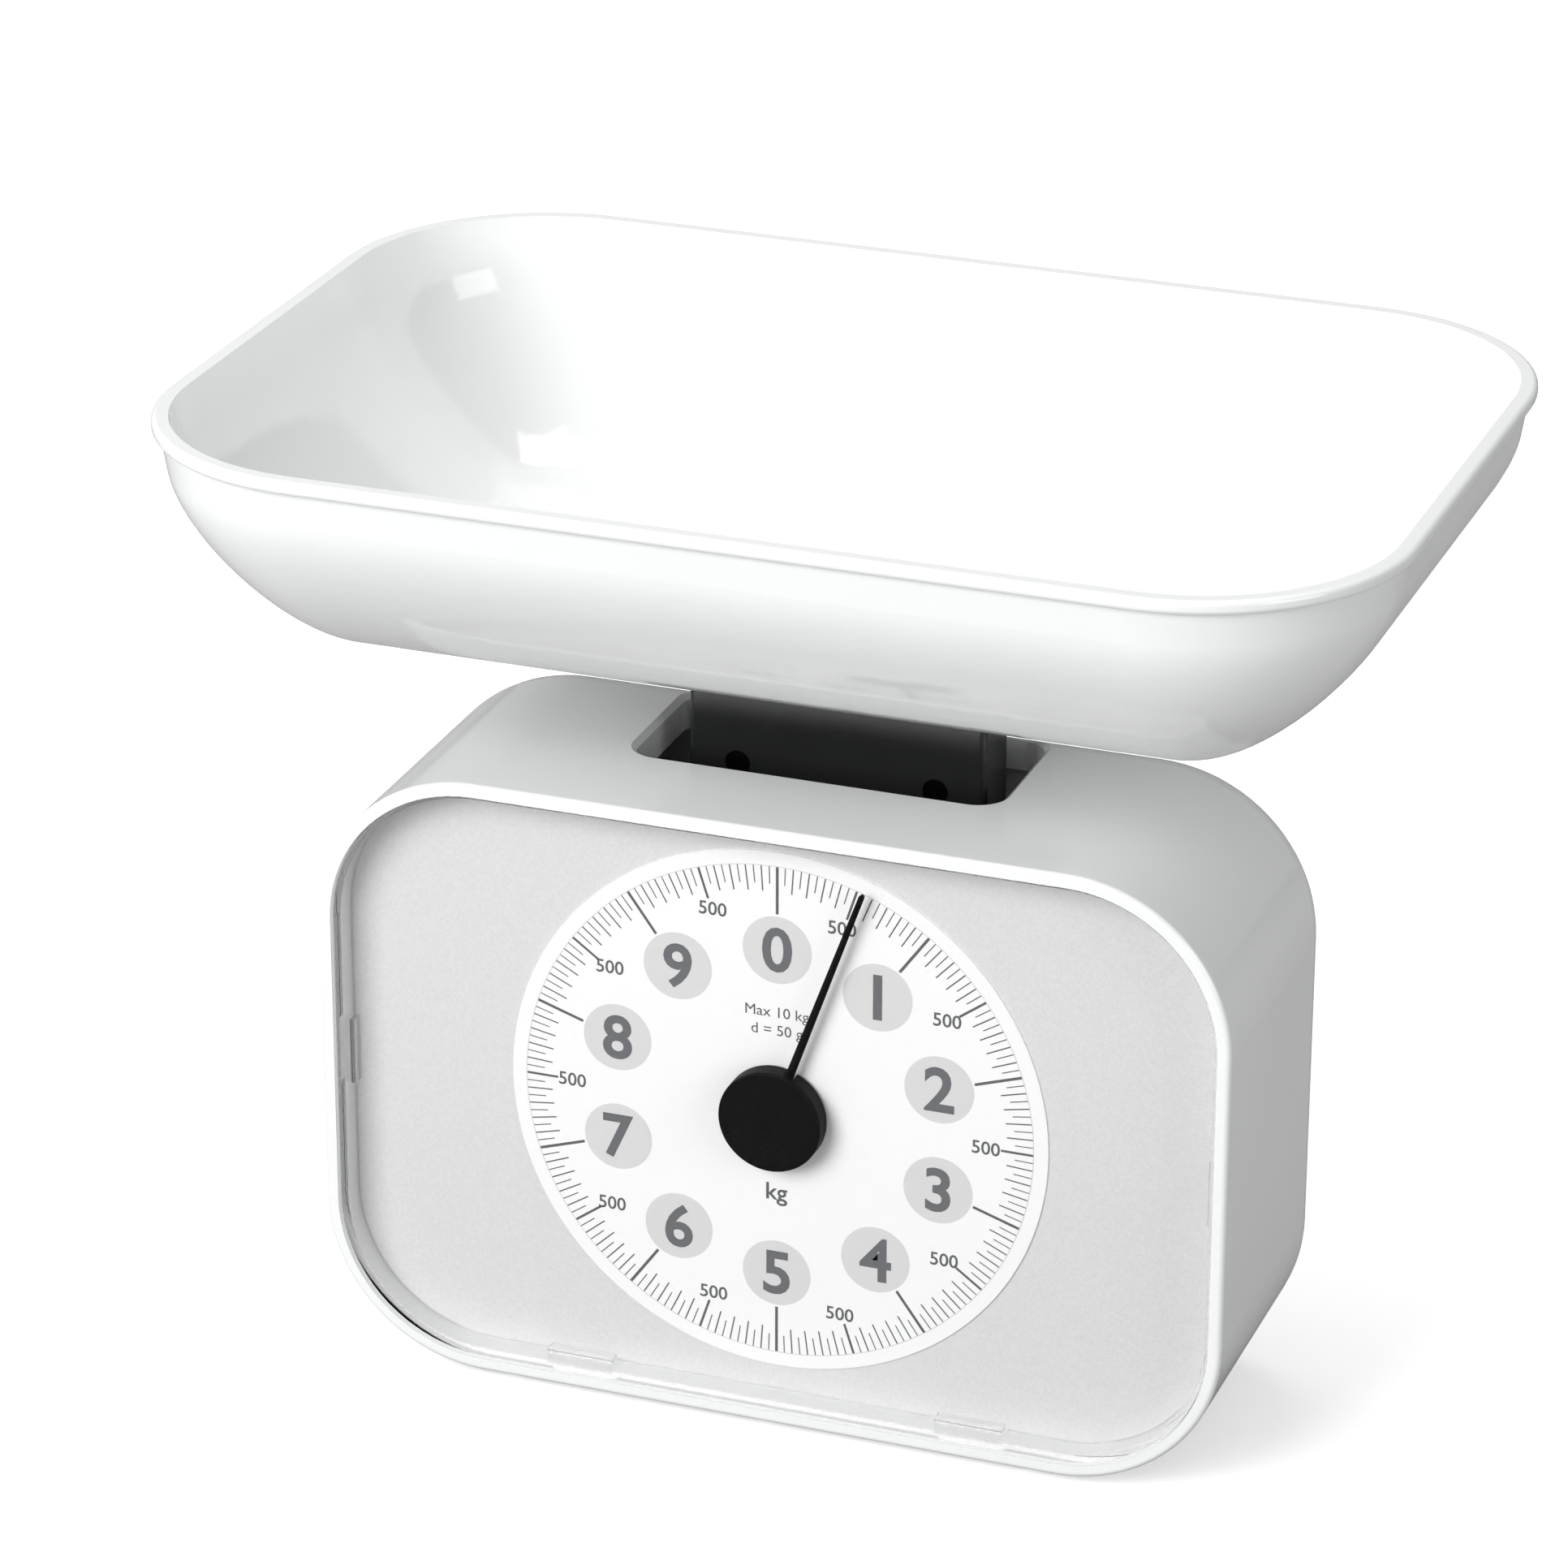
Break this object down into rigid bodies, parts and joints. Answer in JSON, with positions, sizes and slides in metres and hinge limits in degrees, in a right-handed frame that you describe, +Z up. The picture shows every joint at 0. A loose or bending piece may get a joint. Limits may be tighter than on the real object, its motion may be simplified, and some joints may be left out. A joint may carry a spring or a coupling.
{
  "type": "mechanical dial platform scale",
  "caption": "Spring kitchen scale with a round dial and pointer behind a clear front, a flat black post, and a removable rectangular pan.",
  "frame": {"origin": "on the surface that the scale stands on, under the middle of the post and pan", "axes": "+Z up, +X to the right as seen from the dial side, +Y to the back; the dial faces -Y"},
  "size_m": [0.268, 0.1824, 0.219],
  "materials": {
    "white_abs": "gloss",
    "black_abs": "satin",
    "clear_styrene": "clear, polished",
    "silver_sheet": "fine metallic paint",
    "printed_card": "matt print film",
    "grey_rubber": "matt",
    "zinc_steel": "zinc plated",
    "bright_steel": "bright",
    "spring_steel": "drawn wire",
    "brass": "turned",
    "white_acetal": "moulded"
  },
  "bodies": {
    "base": {"housing": "white_abs", "rubber_feet": "grey_rubber", "overload_pad": "grey_rubber", "lens": "clear_styrene", "dial_plate": "silver_sheet", "dial_card": "printed_card", "front_plate": "zinc_steel", "rear_plate": "zinc_steel", "plate_pillars": "bright_steel", "pillar_screws": "bright_steel", "movement_screws": "bright_steel", "bearing_bridge": "zinc_steel", "bridge_screws": "bright_steel", "front_bush": "brass", "bridge_bush": "brass", "adjuster_bush": "brass", "adjuster_washer": "white_acetal", "pivot_pins": "bright_steel", "pivot_spacers": "bright_steel", "pivot_clips": "bright_steel", "spring": "spring_steel"},
    "platform": {"carriage": "white_acetal", "post": "black_abs", "post_screws": "bright_steel", "pan_seat": "black_abs", "rack": "white_acetal", "rack_bracket": "zinc_steel", "rack_rivets": "brass", "bracket_screw": "bright_steel", "carriage_pins": "bright_steel", "carriage_clips": "bright_steel", "spring_pin": "bright_steel"},
    "pan": {"pan": "white_abs"},
    "pointer": {"pointer_needle": "black_abs", "pointer_hub": "black_abs", "pointer_shaft": "bright_steel", "pinion": "brass"},
    "upper_lever": {"upper_lever": "zinc_steel"},
    "lower_lever": {"lower_lever": "zinc_steel"},
    "zero_adjuster": {"adjuster_shaft": "bright_steel", "zero_knob": "black_abs"}
  },
  "joints": [
    {"name": "platform_slide", "type": "slide", "parent": "base", "child": "platform", "axis": [0, 0, 1], "range_m": [-0.01484, 0.00086], "stiffness_N_per_m": 6245, "springref_m": 0.0016, "deforming": ["spring"]},
    {"name": "pan_lift", "type": "slide", "parent": "platform", "child": "pan", "axis": [0, 0, 1], "range_m": [0, 0.06]},
    {"name": "pointer_turn", "type": "hinge", "parent": "base", "child": "pointer", "pos_m": [0, -0.03, 0.0715], "axis": [0, 1, 0], "range_deg": [-19.81, 340.21]},
    {"name": "upper_lever_tilt", "type": "hinge", "parent": "base", "child": "upper_lever", "pos_m": [-0.06, 0, 0.108], "axis": [0, 1, 0], "range_deg": [-0.6, 10.07]},
    {"name": "lower_lever_tilt", "type": "hinge", "parent": "base", "child": "lower_lever", "pos_m": [-0.06, 0, 0.034], "axis": [0, 1, 0], "range_deg": [-0.6, 10.07]},
    {"name": "zero_adjust", "type": "hinge", "parent": "base", "child": "zero_adjuster", "pos_m": [-0.002, 0.01, 0.092], "axis": [0, 1, 0], "range_deg": [-90, 90], "deforming": ["spring"]}
  ],
  "couplings": [
    {"joint": "pointer_turn", "follows": "platform_slide", "rad_per_m": -400},
    {"joint": "upper_lever_tilt", "follows": "platform_slide", "rad_per_m": -11.813},
    {"joint": "lower_lever_tilt", "follows": "platform_slide", "rad_per_m": -11.813}
  ]
}
